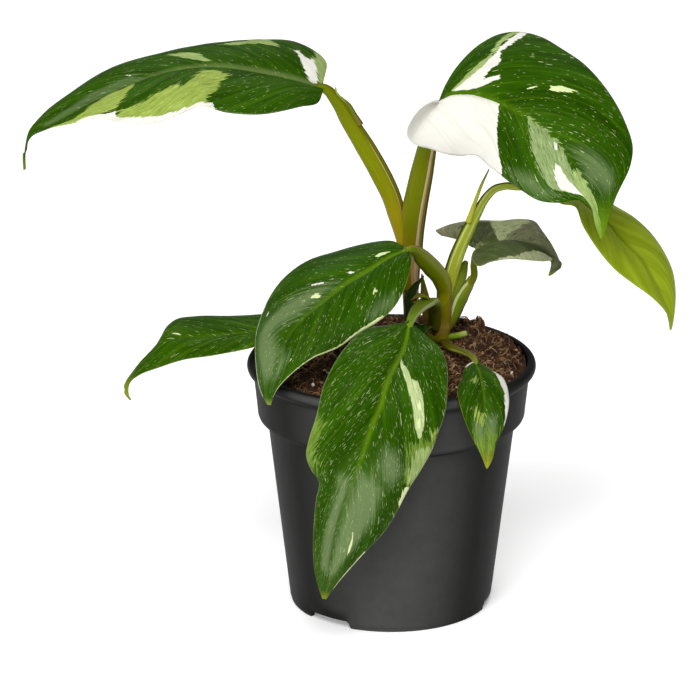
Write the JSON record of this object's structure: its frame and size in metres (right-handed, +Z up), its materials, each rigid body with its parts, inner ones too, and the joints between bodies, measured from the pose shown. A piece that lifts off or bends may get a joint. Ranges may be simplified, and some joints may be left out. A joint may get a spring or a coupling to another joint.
{
  "type": "potted philodendron",
  "caption": "Variegated philodendron with pointed leaves on arching stalks, growing in soil in a round tapered plastic nursery pot.",
  "frame": {"origin": "on the floor, under the middle of the whole outline", "axes": "+Z up, +X to the right seen from the front, along the longest extent, +Y to the back"},
  "size_m": [0.2684, 0.1366, 0.2389],
  "materials": {
    "pot_plastic": "satin black moulded plastic",
    "soil_mix": "moist coir and bark fibres with white grains",
    "stem": "smooth olive to yellow-green skin, slightly waxy",
    "leaf_variegated": "glossy dark green with cream and sage patches and flecks",
    "leaf_lime": "smooth lime green",
    "sheath_dry": "dark dry skin"
  },
  "bodies": {
    "root": {"pot": "pot_plastic", "soil": "soil_mix", "shoot_tall": "stem", "shoot_short": "stem", "leaf_tall_left": "leaf_variegated", "leaf_tall_right": "leaf_variegated", "leaf_low_left": "leaf_variegated", "leaf_front": "leaf_variegated", "leaf_small_front": "leaf_variegated", "leaf_side_left": "leaf_variegated", "leaf_lime_right": "leaf_lime", "leaf_back_right": "leaf_variegated", "leaf_inner": "leaf_variegated", "dry_sheath": "sheath_dry"}
  },
  "joints": []
}
